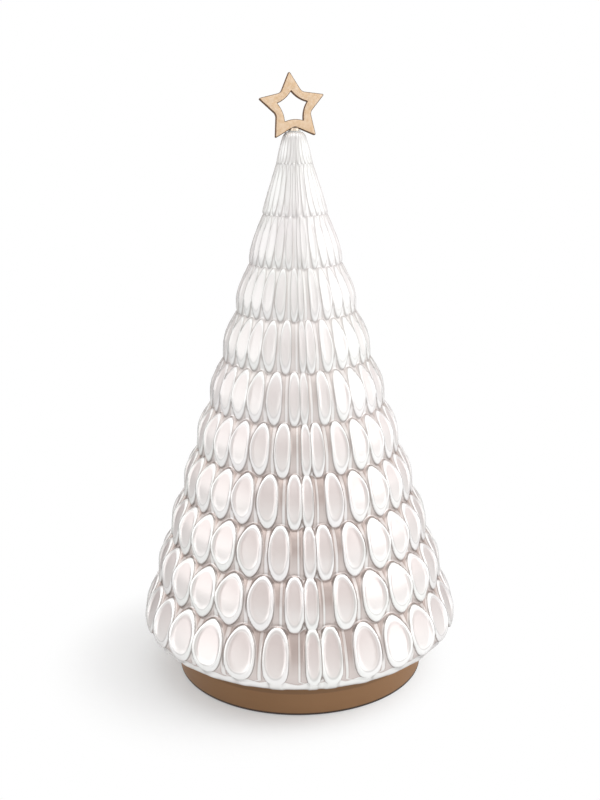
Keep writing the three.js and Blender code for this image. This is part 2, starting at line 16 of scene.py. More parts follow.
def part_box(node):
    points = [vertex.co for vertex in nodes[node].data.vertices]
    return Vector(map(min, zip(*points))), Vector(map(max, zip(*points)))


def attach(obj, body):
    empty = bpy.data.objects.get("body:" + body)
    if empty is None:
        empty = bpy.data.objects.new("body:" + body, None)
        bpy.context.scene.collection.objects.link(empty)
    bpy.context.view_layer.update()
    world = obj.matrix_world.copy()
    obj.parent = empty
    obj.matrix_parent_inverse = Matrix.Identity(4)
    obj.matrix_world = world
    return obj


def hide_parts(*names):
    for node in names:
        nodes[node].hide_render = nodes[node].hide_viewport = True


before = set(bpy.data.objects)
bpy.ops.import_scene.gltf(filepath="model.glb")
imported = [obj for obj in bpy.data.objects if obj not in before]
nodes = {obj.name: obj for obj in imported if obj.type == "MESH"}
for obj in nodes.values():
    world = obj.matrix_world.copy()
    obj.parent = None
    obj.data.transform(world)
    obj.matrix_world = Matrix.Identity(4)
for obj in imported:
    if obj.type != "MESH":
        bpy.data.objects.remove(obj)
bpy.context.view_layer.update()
print("nodes:", ", ".join(sorted(nodes)))

# %% [markdown]
# Sizes on such an object are spoken of in millimetres, while Blender works in metres. One
# factor turns them. Heights that the frame already knows are read from it instead of being
# typed again, here where the glass stands and where its tip ends.

# %% Sizes shared by several pieces
MM = 0.001


def box_mm(node):
    """Lowest and highest corner of a node of the frame, in millimetres."""
    low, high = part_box(node)
    return np.array(low) / MM, np.array(high) / MM


glass_low, glass_high = box_mm("glass_tree")
RIM_HEIGHT = glass_low[2]
TIP_HEIGHT = glass_high[2]
print(f"the glass stands at {RIM_HEIGHT:.1f} mm and ends at {TIP_HEIGHT:.1f} mm")

# %% [markdown]
# The camera stands a good half metre in front of the tree and a little above its tip, and
# looks down on it. A long lens at that distance gives the mild perspective of a product
# picture. Its small roll is what makes the tree lean a hair to the left.

# %% Camera
CAMERA_DISTANCE = 611.2
CAMERA_HEIGHT = 316.3
CAMERA_PITCH_DEG = 14.76
CAMERA_ROLL_DEG = -0.65
LENS_PIXELS = 1136
SENSOR_WIDTH = 36
PICTURE_HEIGHT = 800
SIDE_SHIFT_PIXELS = 2.8

camera_data = bpy.data.cameras.new("camera")
camera_data.sensor_width = SENSOR_WIDTH
camera_data.lens = LENS_PIXELS * SENSOR_WIDTH / PICTURE_HEIGHT
camera_data.shift_x = SIDE_SHIFT_PIXELS / PICTURE_HEIGHT
camera = bpy.data.objects.new("camera", camera_data)
tilt = Matrix.Rotation(math.radians(90 - CAMERA_PITCH_DEG), 4, "X")
roll = Matrix.Rotation(math.radians(CAMERA_ROLL_DEG), 4, "Z")
place = Matrix.Translation((0, -CAMERA_DISTANCE * MM, CAMERA_HEIGHT * MM))
camera.matrix_world = place @ tilt @ roll
bpy.context.scene.collection.objects.link(camera)
bpy.context.scene.camera = camera
bpy.context.scene.view_settings.view_transform = "Standard"
print(f"lens of {camera_data.lens:.1f} mm")

# %% [markdown]
# Materials are small node trees. One function turns a colour written as sRGB hex, as a paint
# card gives it, into the linear values that a shader wants. Another adds one node, with its
# settings and whatever feeds its sockets, so that each material below reads as a short list.

# %% Colours and nodes


def linear(code):
    """sRGB hex to linear RGBA: below 0.04045 a twelfth part, above it a power of 2.4."""
    parts = np.array([int(code[at:at + 2], 16) for at in (1, 3, 5)]) / 255
    curve = np.where(parts <= 0.04045, parts / 12.92, ((parts + 0.055) / 1.055) ** 2.4)
    return (*curve.tolist(), 1.0)


def add(tree, kind, feeds=None, **settings):
    """One node of a kind. Feeds maps a socket's name or number to a value or to an output."""
    node = tree.nodes.new("ShaderNode" + kind)
    for name, value in settings.items():
        setattr(node, name, value)
    for socket, feed in (feeds or {}).items():
        if isinstance(feed, bpy.types.NodeSocket):
            tree.links.new(feed, node.inputs[socket])
        else:
            node.inputs[socket].default_value = feed
    return node


def new_material(name, **shader_values):
    """A material with one Principled shader, and those of its sockets that stay the same."""
    material = bpy.data.materials.new(name)
    material.use_nodes = True
    tree = material.node_tree
    shader = tree.nodes["Principled BSDF"]
    for socket, value in shader_values.items():
        shader.inputs[socket.replace("_", " ")].default_value = value
    return material, tree, shader


def per_metre(size_mm):
    """Scale of a texture whose features measure the given size."""
    return 1 / (size_mm * MM)


print("white as linear:", linear("#ffffff"))

# %% [markdown]
# The stage is a white sheet that runs on without an edge. A real sheet takes a soft shadow
# near the object and burns out to plain white further off, and the floor's material does the
# same: close to the tree it is a lit white surface, and away from it it glows at exactly
# white for camera, glossy and transmission rays.

# %% Floor
FLOOR_HALF_SIZE = 6.0
SHADOW_RADIUS = 0.075
CLEAR_RADIUS = 0.122
SHADOW_CENTRE = (-0.03, 0.004, 0.0)
NEAR_GLOW = 0.3


def white_sheet():
    """Lit white near the shadow, plain white far off: the two mix by distance on the floor."""
    material, tree, shader = new_material(
        "matte_paper", Roughness=0.9, Base_Color=linear("#f7f7f7"),
    )
    coords = add(tree, "TexCoord")
    distance = add(tree, "VectorMath", {
        0: coords.outputs["Object"], 1: SHADOW_CENTRE,
    }, operation="DISTANCE")
    fade = add(tree, "MapRange", {
        "Value": distance.outputs["Value"],
        "From Min": SHADOW_RADIUS,
        "From Max": CLEAR_RADIUS,
        "To Min": NEAR_GLOW,
        "To Max": 1.0,
    }, interpolation_type="SMOOTHSTEP")
    path = add(tree, "LightPath")
    watched = add(tree, "Math", {
        0: path.outputs["Is Camera Ray"], 1: fade.outputs[0],
    }, operation="MULTIPLY")
    mirrored = add(tree, "Math", {
        0: path.outputs["Is Glossy Ray"], 1: path.outputs["Is Transmission Ray"],
    }, operation="ADD")
    share = add(tree, "Math", {
        0: watched.outputs[0], 1: mirrored.outputs[0],
    }, operation="ADD", use_clamp=True)
    glow = add(tree, "Emission", {"Color": linear("#ffffff"), "Strength": 1.0})
    mix = add(tree, "MixShader", {0: share.outputs[0], 1: shader.outputs[0], 2: glow.outputs[0]})
    tree.links.new(mix.outputs[0], tree.nodes["Material Output"].inputs["Surface"])
    return material


def flat_sheet(name, half):
    """A square of two triangles' worth of floor, centred on the origin."""
    corners = [(-half, -half, 0), (half, -half, 0), (half, half, 0), (-half, half, 0)]
    mesh = bpy.data.meshes.new(name)
    mesh.from_pydata(corners, [], [(0, 1, 2, 3)])
    return bpy.data.objects.new(name, mesh)


floor = flat_sheet("floor", FLOOR_HALF_SIZE)
floor.data.materials.append(white_sheet())
bpy.context.scene.collection.objects.link(floor)
print("floor of", 2 * FLOOR_HALF_SIZE, "m")

# %% [markdown]
# Lustred glass shows its form by what it mirrors. The picture has two tall soft boxes, one at
# each side, and a dim room behind the camera: ovals that face the camera are pale grey, and
# ovals that face a soft box are white. The world is that studio. What a shiny surface mirrors
# goes from a warm grey to white by how far a direction points sideways or up, and the box on
# the left is the brighter one in such a mirror. Matte surfaces get plain light, much more of
# it from the right, so the shadow falls to the left.

# %% World
STUDIO_GREY = "#cac2bf"
STUDIO_WHITE = "#ffffff"
BOX_START = 0.5
BOX_FULL = 0.92
TOP_SHARE = 1.25
LEFT_LEVEL = 0.2
RIGHT_LEVEL = 1.15
GLOSSY_LEVEL = 1.42
LEFT_BOX_LEVEL = 2.05

world = bpy.data.worlds.new("studio")
bpy.context.scene.world = world
world.use_nodes = True
sky = world.node_tree
sky.nodes.clear()
direction = add(sky, "TexCoord")
axes = add(sky, "SeparateXYZ", {0: direction.outputs["Generated"]})
sideways = add(sky, "Math", {0: axes.outputs["X"]}, operation="ABSOLUTE")
upward = add(sky, "Math", {0: axes.outputs["Z"], 1: TOP_SHARE}, operation="MULTIPLY")
reach = add(sky, "Math", {0: sideways.outputs[0], 1: upward.outputs[0]}, operation="MAXIMUM")
lit = add(sky, "MapRange", {
    "Value": reach.outputs[0],
    "From Min": BOX_START,
    "From Max": BOX_FULL,
}, interpolation_type="SMOOTHSTEP")
studio = add(sky, "Mix", {
    0: lit.outputs[0],
    6: linear(STUDIO_GREY),
    7: linear(STUDIO_WHITE),
}, data_type="RGBA")
path = add(sky, "LightPath")
mirrored = add(sky, "Math", {
    0: path.outputs["Is Glossy Ray"],
    1: path.outputs["Is Transmission Ray"],
}, operation="ADD", use_clamp=True)
side = add(sky, "MapRange", {
    "Value": axes.outputs["X"],
    "From Min": -BOX_FULL,
    "From Max": BOX_FULL,
    "To Min": LEFT_LEVEL,
    "To Max": RIGHT_LEVEL,
})
plain = add(sky, "Background", {0: linear(STUDIO_WHITE), 1: side.outputs[0]})
gleam = add(sky, "MapRange", {
    "Value": axes.outputs["X"],
    "From Min": -BOX_FULL,
    "From Max": -BOX_START,
    "To Min": LEFT_BOX_LEVEL,
    "To Max": GLOSSY_LEVEL,
}, interpolation_type="SMOOTHSTEP")
room = add(sky, "Background", {0: studio.outputs[2], 1: gleam.outputs[0]})
lighting = add(sky, "MixShader", {
    0: mirrored.outputs[0], 1: plain.outputs[0], 2: room.outputs[0],
})
backdrop = add(sky, "Background", {0: linear(STUDIO_WHITE), 1: 1.0})
choice = add(sky, "MixShader", {
    0: path.outputs["Is Camera Ray"], 1: lighting.outputs[0], 2: backdrop.outputs[0],
})
add(sky, "OutputWorld", {0: choice.outputs[0]})
print("nodes of the world:", len(sky.nodes))

# %% [markdown]
# A world alone lights from everywhere, and paint and paper need light with a direction too.
# Three large square lamps hang on a sphere round the tree, so that two angles place each of
# them: a low one at the right, a high one at the left and one nearly overhead. Being large,
# they leave only soft edges to the shadow.

# %% Lamps
LAMP_DISTANCE = 1.6
LAMP_AIM_HEIGHT = 0.15


def soft_box(name, azimuth_deg, elevation_deg, size, watts):
    """A square white lamp on a sphere round the tree, turned to the middle of the glass."""
    azimuth, elevation = math.radians(azimuth_deg), math.radians(elevation_deg)
    away = Vector((
        math.sin(azimuth) * math.cos(elevation),
        -math.cos(azimuth) * math.cos(elevation),
        math.sin(elevation),
    ))
    data = bpy.data.lights.new(name, "AREA")
    data.shape = "SQUARE"
    data.size = size
    data.energy = watts
    lamp = bpy.data.objects.new(name, data)
    lamp.location = Vector((0, 0, LAMP_AIM_HEIGHT)) + away * LAMP_DISTANCE
    lamp.rotation_mode = "QUATERNION"
    lamp.rotation_quaternion = (-away).to_track_quat("-Z", "Y")
    bpy.context.scene.collection.objects.link(lamp)


soft_box("box_right", azimuth_deg=78, elevation_deg=24, size=1.4, watts=4.7)
soft_box("box_left", azimuth_deg=-75, elevation_deg=64, size=1.2, watts=4.6)
soft_box("box_top", azimuth_deg=20, elevation_deg=78, size=1.2, watts=4.8)

# %% [markdown]
# Blown and turned things are rings stacked along a profile. Rings need not have the same
# number of points: where the glass gets narrow, every second column of points can end, and a
# row of triangles joins the two counts. The helper below takes any stack of rings, as whole
# numpy arrays, and closes it on itself, so that a wall has its inside and outside in one skin.

# %% Rings to mesh


def ring_faces(first, count, following, next_count):
    """Faces between two rings: quads for like counts, three triangles a step for 2 to 1."""
    few = min(count, next_count)
    at = np.arange(few)
    after = (at + 1) % few
    if count == next_count:
        low, low_after = first + at, first + after
        high, high_after = following + at, following + after
        return np.stack([low, low_after, high_after, high], 1).tolist()
    double, middle = 2 * at, 2 * at + 1
    last = (2 * at + 2) % (2 * few)
    if count > next_count:
        a0, a1, a2 = first + double, first + middle, first + last
        b0, b1 = following + at, following + after
        strips = [(a0, a1, b0), (a1, b1, b0), (a1, a2, b1)]
    else:
        a0, a1 = first + at, first + after
        b0, b1, b2 = following + double, following + middle, following + last
        strips = [(a0, b1, b0), (a0, a1, b1), (a1, b2, b1)]
    return np.concatenate([np.stack(strip, 1) for strip in strips]).tolist()


def ring_mesh(name, rings, materials, attributes=None):
    """A closed skin through rings of points in millimetres. Each attribute is a list of one
    array per ring. The last ring is joined to the first."""
    counts = [len(ring) for ring in rings]
    starts = np.concatenate([[0], np.cumsum(counts)[:-1]])
    faces = []
    for at, count in enumerate(counts):
        onward = (at + 1) % len(counts)
        faces += ring_faces(starts[at], count, starts[onward], counts[onward])
    mesh = bpy.data.meshes.new(name)
    mesh.from_pydata(np.concatenate(rings) * MM, [], faces)
    mesh.polygons.foreach_set("use_smooth", np.ones(len(mesh.polygons), bool))
    for title, values in (attributes or {}).items():
        layer = mesh.attributes.new(title, "FLOAT", "POINT")
        layer.data.foreach_set("value", np.concatenate(values).astype(np.float32))
    piece = bpy.data.objects.new(name, mesh)
    for material in materials:
        mesh.materials.append(material)
    bpy.context.scene.collection.objects.link(piece)
    return piece


def ring_points(azimuth, radius, height):
    """Points round the axis: azimuth 0 is the front, -Y, and a quarter turn on is +X."""
    full = np.broadcast_arrays(radius * np.sin(azimuth), -radius * np.cos(azimuth), height)
    return np.stack(full, -1)


def turn_of(count, start_deg=0.0):
    """Equal steps round a full turn, in radians."""
    return math.radians(start_deg) + np.arange(count) * 2 * math.pi / count


print("helpers ready")

# %% [markdown]
# The glass, first its plain profile. Eleven tiers stand on each other like bells. The grooves
# between them lie on a nearly straight flank, each a little further up than the last. Within
# a tier the wall swells from its upper groove: low tiers are round, and the highest are almost
# straight cones. Below its widest ring the skirt turns under to the flat rim, and the lowest
# ovals reach a little way round that turn.

# %% Profile of the glass
TIERS = 11
TOP_TIER = TIERS - 1
RIM_RADIUS = 69.0
RIM_INNER_RADIUS = 63.5
SKIRT_RADIUS = 89.25
SKIRT_HEIGHT = 14.0
SKIRT_DROP = 4.5
GROOVE_RADII = (80.4, 9.7)
FLANK_HOLLOW = 0.8
GROOVE_START = 36.2
GROOVE_STEP = 24.75
GROOVE_GROWTH = 0.1
TIP_BEVEL = (6.0, 1.6)
TIP_FLAT_RADIUS = 4.6
GLASS_WALL = 3.4
SKIRT_WALL = 5.2
INNER_WAVE = 1.4
TIP_THICKNESS = 9.0
TIP_TIER_SWELL = 1.2
ROUNDNESS_AT_TOP, ROUNDNESS_STEP, ROUNDNESS_MOST = 1.1, 0.25, 2.4
FULLEST_LOW, FULLEST_STEP, FULLEST_MOST, FULLEST_FROM_TIER = 0.75, 0.1, 0.95, 7
OVERHANG = 0.025
WAIST_HEIGHT = RIM_HEIGHT + SKIRT_HEIGHT


def groove_radius(groove):
    """A straight fall from the lowest groove to the highest, bowed in by a sine."""
    share = groove / (TIERS - 2)
    straight = GROOVE_RADII[0] + (GROOVE_RADII[1] - GROOVE_RADII[0]) * share
    return straight - FLANK_HOLLOW * np.sin(np.pi * share)


def groove_height(groove):
    """Steps that grow by a fifth of a millimetre from one tier to the next."""
    growth = GROOVE_GROWTH * groove * (groove - 1)
    return RIM_HEIGHT + GROOVE_START + GROOVE_STEP * groove + growth


def tier_profile(tier, up):
    """Radius and height of a tier at shares of its height, from its lower end to its upper.
    The swelling is one minus a power of how far above its fullest line a point lies."""
    down = 1 - up
    if tier == 0:
        neck, reach = groove_radius(0), SKIRT_RADIUS - RIM_RADIUS
        height = WAIST_HEIGHT - SKIRT_DROP + (groove_height(0) - WAIST_HEIGHT + SKIRT_DROP) * up
        above = (height - WAIST_HEIGHT) / (groove_height(0) - WAIST_HEIGHT)
        below = np.clip((WAIST_HEIGHT - height) / SKIRT_HEIGHT, 0, 1)
        under = RIM_RADIUS + reach * np.sqrt(1 - below ** 2)
        over = neck + (SKIRT_RADIUS - neck) * (1 - np.clip(above, 0, 1) ** 2)
        return np.where(above < 0, under, over), height
    low = groove_height(tier - 1)
    wide = groove_radius(tier - 1)
    if tier == TOP_TIER:
        radius = wide + (TIP_BEVEL[0] - wide) * up + TIP_TIER_SWELL * up * down
        return radius, low + (TIP_HEIGHT - TIP_BEVEL[1] - low) * up
    narrow = groove_radius(tier)
    roundness = min(ROUNDNESS_MOST, ROUNDNESS_AT_TOP + ROUNDNESS_STEP * (TIERS - 2 - tier))
    fullest = min(FULLEST_MOST, FULLEST_LOW + FULLEST_STEP * max(0, tier - FULLEST_FROM_TIER))
    above = (1 + OVERHANG) * (1 - np.clip(1 - down / fullest, 0, 1) ** roundness)
    below = 1 + OVERHANG * (1 - ((down - fullest) / (1 - fullest)) ** 2)
    swell = np.where(down > fullest, below, above)
    return narrow + (wide - narrow) * swell, low + (groove_height(tier) - low) * up


print("grooves at", [round(float(groove_height(k)), 1) for k in range(TOP_TIER)])

# %% [markdown]
# Now the ovals. The mould opens in two halves, and its seams run down the front and the back.
# An oval stands on each seam, and from there the others go round in even steps. On one side
# the first of them is only half a step away, and from row to row that side changes.

# %% Places of the ovals
CELLS = 28
SEAM_DEG = 4.5
PITCH_DEG = 360 / CELLS


def cell_turns(tier):
    """Azimuths of the ovals of a tier, in degrees from the front seam, and how far each is
    from the nearest seam. The order of even and odd rows is swapped on the two halves."""
    half = CELLS
    columns = np.arange(2 * CELLS)
    right = columns < half
    crest = np.where(right, (columns + tier + 1) % 2 == 0, (columns + tier) % 2 == 0)
    crest |= columns % half == 0
    turns = columns[crest] * PITCH_DEG / 2
    return turns, np.minimum(turns % 180, 180 - turns % 180)


print("ovals in a row:", len(cell_turns(0)[0]))

# %% [markdown]
# Cutters for such a mould work square to the plane where the halves part, so ovals near a
# seam come out narrow, with open flutes between them, and those at the sides come out wide
# and touch. Each oval is a shallow dish inside a raised rim. Near a seam its ends are blunt,
# and further round they are nearly those of an ellipse.

# %% Relief of the glass
NARROW_SHARE = 0.44
WIDE_GAIN = 0.62
WIDENING_DEG = 20.0
WIDENING_POWER = 1.25
POINTED_FROM_DEG = 6
POINTED_OVER_DEG = 24
POWER_ACROSS, POWER_ACROSS_FALL = 2.3, 0.3
POWER_ALONG, POWER_ALONG_FALL = 3.2, 1.0
INNER_WIDTH = 0.80
INNER_HEIGHT = 0.75
INNER_CENTRE = 0.53
OVAL_CENTRE = 0.50
OVAL_HALF_HEIGHT = 0.56
SIDE_SHORTENING = 0.06
RIM_SHARE = 0.16
GROOVE_SHARE = 0.105
DISH_SHARE = 0.075
LIP_SHARE = 0.022
GROOVE_SPREAD = 1.3
DISH_POWER = 2.2
DISH_FLOOR_END = 0.86
DISH_EDGE_WIDTH = 0.24
DISH_CURVE_ACROSS = 0.15


def smooth(value):
    """Soft step from 0 to 1: three squares less two cubes."""
    value = np.clip(value, 0, 1)
    return value * value * (3 - 2 * value)


def relief(tier, up, azimuth_deg, radius):
    """Depth in millimetres under the highest line, for rows at shares of a tier's slope and
    columns at azimuths from the seam. An outline is where a power of the share across an oval
    plus a power of the share along it makes 1, and the inside measure is 1 less that sum. A
    dish has such an outline of its own, and a furrow sinks as 1 less a bell curve.
    Also returns five maps for the painted shade: the dish radius (1 at the inner edge of the rim),
    the inside measure of the nearest oval (0 on its outline), and in millimetres about how
    far a point is from the dish's edge, from the outline, and from the line where two
    neighbours meet: there the best of the even ovals equals the best of the odd ones. With an
    odd number in a row that order breaks once, at the back."""
    turns, from_seam = cell_turns(tier)
    widening = 1 - np.exp(-((from_seam / WIDENING_DEG) ** WIDENING_POWER))
    half_width = (NARROW_SHARE + WIDE_GAIN * widening) * PITCH_DEG / 2
    pointed = smooth((from_seam - POINTED_FROM_DEG) / POINTED_OVER_DEG)
    offset = (azimuth_deg[None, :, None] - turns + 180) % 360 - 180
    across = np.abs(offset) / half_width
    half_height = OVAL_HALF_HEIGHT - SIDE_SHORTENING * pointed
    along = np.abs(up[:, None, None] - OVAL_CENTRE) / half_height
    inside = 1 - (
        across ** (POWER_ACROSS - POWER_ACROSS_FALL * pointed)
        + along ** (POWER_ALONG - POWER_ALONG_FALL * pointed)
    )
    nearest = np.argmax(inside, axis=2)[:, :, None]
    reach = np.abs(up[:, None] - INNER_CENTRE) / (half_height[nearest[:, :, 0]] * INNER_HEIGHT)
    sideways = np.take_along_axis(across, nearest, 2)[:, :, 0] / INNER_WIDTH
    dish = np.sqrt(sideways ** DISH_POWER + reach ** DISH_POWER)
    best = inside.max(axis=2)
    pitch_mm = (2 * np.pi * radius / CELLS)[:, None]
    fall = np.maximum(0, (RIM_SHARE - best) / RIM_SHARE)
    gap = 1 - np.exp(-((fall / GROOVE_SPREAD) ** 2))
    recess = 1 - smooth((dish - DISH_FLOOR_END) / DISH_EDGE_WIDTH)
    curve = np.clip(1 - reach ** 2 - DISH_CURVE_ACROSS * sideways ** 2, 0, 1)
    bowl = LIP_SHARE + DISH_SHARE * curve
    depth = pitch_mm * (GROOVE_SHARE * gap + bowl * recess)
    half_mm = np.radians(half_width[nearest[:, :, 0]]) * radius[:, None]
    off_dish = (dish - 1) * INNER_WIDTH * half_mm
    off_outline = best * half_mm / POWER_ACROSS
    odd = (np.arange(len(turns)) + (turns > 180)) % 2 == 1
    lead = inside[:, :, odd].max(axis=2) - inside[:, :, ~odd].max(axis=2)
    off_meeting = lead * half_mm / (2 * POWER_ACROSS)
    return depth, (dish, best, off_dish, off_outline, off_meeting)


print("deepest cut of a dish, as a share of the step round:", round(LIP_SHARE + DISH_SHARE, 3))

# %% [markdown]
# A groove isn't level. Between two rows of ovals it runs in a soft zigzag: it is pushed up by
# the ovals below it and down by those above. The flank leans, so a point that rises also has
# to move inwards a little.

# %% Zigzag of the grooves
ZIGZAG_SHARE = 0.06
FLANK_SLOPE = 0.31


def bump(tier, azimuth_deg):
    """One in the middle of an oval, falling as a cosine to minus one half a step away."""
    turns = cell_turns(tier)[0]
    offset = np.abs((azimuth_deg[:, None] - turns + 180) % 360 - 180).min(axis=1)
    return np.cos(np.pi * np.clip(2 * offset / PITCH_DEG, 0, 1))


def zigzag(groove, azimuth_deg):
    """How far a groove rises in millimetres: it gives way to the ovals above and below it."""
    if groove < 0 or groove > TIERS - 2:
        return np.zeros(len(azimuth_deg))
    pitch_mm = 2 * np.pi * groove_radius(groove) / CELLS
    return ZIGZAG_SHARE * pitch_mm * (bump(groove, azimuth_deg) - bump(groove + 1, azimuth_deg)) / 2


print(f"lowest groove rises by {zigzag(0, np.arange(360.0)).max():.2f} mm at most")

# %% [markdown]
# The rows of points on the glass crowd towards the grooves, where the form turns most.
# The five low tiers have twenty points to a step round the tree and the high ones half
# of that, because a step up there is only a few millimetres wide.

# %% Rows of the glass
LOW_TIERS = 5
COLUMNS_LOW = 20 * CELLS
COLUMNS_HIGH = 10 * CELLS
ROWS_LOW = 21
ROWS_HIGH = 14
EVEN_SHARE = 0.45


def crowded(rows):
    """Shares from 0 to 1: a little under half even, the rest crowded to both ends by a
    cosine."""
    even = np.linspace(0, 1, rows)
    return EVEN_SHARE * even + (1 - EVEN_SHARE) * (1 - np.cos(np.pi * even)) / 2


def along_slope(radius, height):
    """Share of the way up a profile at each of its points, measured along it."""
    steps = np.hypot(np.diff(radius), np.diff(height))
    return np.concatenate([[0], np.cumsum(steps)]) / steps.sum()


def square_to(radius, height):
    """Radial and upward parts of the direction that points out of a profile."""
    length = np.hypot(np.gradient(radius), np.gradient(height))
    return np.gradient(height) / length, -np.gradient(radius) / length


print("rows of a low and a high tier:", ROWS_LOW, ROWS_HIGH)

# %% [markdown]
# The inside of blown glass follows the tiers only softly, as the mould touches just the
# outside. A short list of points runs down it, from the drilled tip past the room for the
# washer, under each groove and between two grooves, and round the skirt to the rim.

# %% Inside of the glass
COLUMNS_INSIDE = 5 * CELLS
HOLE_RADIUS = 2.6
WASHER_PLAY = 1.2
RIM_CHAMFER = 0.5
SKIRT_INSIDE_ANGLES_DEG = (90, 75, 60, 45, 30, 15)
CAVITY_TOP_RADIUS = box_mm("pin_washer")[1][0] + WASHER_PLAY


def inside_profile():
    """Radius and height down the inside: the wall under each groove, a little fuller between."""
    roof = TIP_HEIGHT - TIP_THICKNESS
    points = [(HOLE_RADIUS, roof), (CAVITY_TOP_RADIUS, roof)]
    for groove in range(TIERS - 2, 0, -1):
        radius, height = groove_radius(groove), groove_height(groove)
        below, under = groove_radius(groove - 1), groove_height(groove - 1)
        points.append((radius - GLASS_WALL, height))
        points.append(((radius + below) / 2 - GLASS_WALL + INNER_WAVE, (height + under) / 2))
    widest = SKIRT_RADIUS - SKIRT_WALL
    points.append((groove_radius(0) - GLASS_WALL, groove_height(0)))
    points.append((widest - INNER_WAVE, (WAIST_HEIGHT + groove_height(0)) / 2))
    for angle in np.radians(SKIRT_INSIDE_ANGLES_DEG):
        radius = RIM_INNER_RADIUS + (widest - RIM_INNER_RADIUS) * math.sin(angle)
        points.append((radius, WAIST_HEIGHT - (SKIRT_HEIGHT - GLASS_WALL) * math.cos(angle)))
    points.append((RIM_INNER_RADIUS, RIM_HEIGHT + GLASS_WALL))
    points.append((RIM_INNER_RADIUS, RIM_HEIGHT + RIM_CHAMFER))
    return points


print("points down the inside:", len(inside_profile()))

# %% [markdown]
# Now all rings in one stack, up the outside and down the inside. Each ring also carries the
# values that the painted shade of the glass reads, one for each of its points. Where the glass
# has no ovals, as low on the skirt and inside, plain values stand for "far from any line".

# %% Rings of the glass
ROWS_UNDER = 7
SHADE_MAPS = ("rise", "dish", "inside", "off_dish", "off_outline", "off_meeting")
PLAIN_SHADE = (0.5, 2.0, 1.0, 9.0, 9.0, 9.0)


def glass_rings():
    """Rings up the outside, over the tip and down the inside, with the maps of the painted shade.
    A tier ends on its own scalloped edge, and the next one starts on the edge of its own."""
    rings, maps = [], {title: [] for title in SHADE_MAPS}

    def keep(points, values=PLAIN_SHADE):
        rings.append(points)
        for title, value in zip(SHADE_MAPS, values):
            maps[title].append(np.full(len(points), value) if np.isscalar(value) else value)

    seam = math.radians(SEAM_DEG)
    turns = turn_of(COLUMNS_LOW)
    edge = relief(0, np.zeros(1), np.degrees(turns), np.array([SKIRT_RADIUS]))[0][0]
    lowest = math.acos(SKIRT_DROP / SKIRT_HEIGHT)
    for share in np.linspace(0, 1, ROWS_UNDER, endpoint=False):
        radius = RIM_RADIUS + (SKIRT_RADIUS - RIM_RADIUS) * math.sin(lowest * share)
        height = WAIST_HEIGHT - SKIRT_HEIGHT * math.cos(lowest * share)
        keep(ring_points(turns + seam, radius - edge * share ** 2, height))
    for tier in range(TIERS):
        low = tier < LOW_TIERS
        turns = turn_of(COLUMNS_LOW if low else COLUMNS_HIGH)
        radii, heights = tier_profile(tier, crowded(ROWS_LOW if low else ROWS_HIGH))
        share = along_slope(radii, heights)
        out_r, out_z = square_to(radii, heights)
        # The maps in finish feed the painted shade of the glass.
        depth, finish = relief(tier, share, np.degrees(turns), radii)
        below, above = zigzag(tier - 1, np.degrees(turns)), zigzag(tier, np.degrees(turns))
        for row, up in enumerate(share):
            shift = below * (1 - up) ** 2 + above * up ** 2
            radius = radii[row] - depth[row] * out_r[row] - FLANK_SLOPE * shift
            height = heights[row] - depth[row] * out_z[row] + shift
            keep(ring_points(turns + seam, radius, height), (up, *[part[row] for part in finish]))
    high_turn, inner_turn = turn_of(COLUMNS_HIGH, SEAM_DEG), turn_of(COLUMNS_INSIDE, SEAM_DEG)
    last_values = (up, *[part[-1] for part in finish])
    keep(ring_points(high_turn, TIP_FLAT_RADIUS, TIP_HEIGHT), last_values)
    keep(ring_points(high_turn, HOLE_RADIUS, TIP_HEIGHT))
    for radius, height in inside_profile():
        keep(ring_points(inner_turn, radius, height))
    keep(ring_points(high_turn, RIM_INNER_RADIUS + RIM_CHAMFER, RIM_HEIGHT))
    return rings, maps


rings, maps = glass_rings()
print("rings:", len(rings), "points:", sum(len(ring) for ring in rings))

# %% [markdown]
# The glass is opal: milky white through and through, with a pearl lustre fired on its
# surface. Thin plates in such a lustre mirror the studio softly, so part of the light comes
# back as a broad, slightly coloured gleam and the rest as plain white. The shade of the relief
# is painted into the colour: the furrows between the ovals get a painted pinkish grey shade,
# darker near the top of each tier, the dishes of the ovals a paler painted grey, a pale painted
# highlight runs down the middle of a furrow, and thin dark lines of painted shade follow every
# rim and crease. The tables say how strongly: what a ramp reads, between which two values, its two
# levels.

# %% Tones and lines of the glass
RIM_COLOURS = ("#fdfbfb", "#fbfcfa")
# Painted shade: the dishes of the ovals are grey, greyer in the upper part of a tier.
FACET_SHADE_COLOURS = ("#e2d9d7", "#f1edeb")
# Painted shade: the furrows between the ovals are grey, darker near the top of a tier.
FURROW_SHADE_COLOURS = ("#ded4d0", "#b5a7a1")
# Painted shade: thin dark lines along the rims and where ovals meet, for the shade in those
# creases.
CREASE_SHADE_COLOUR = "#77675f"
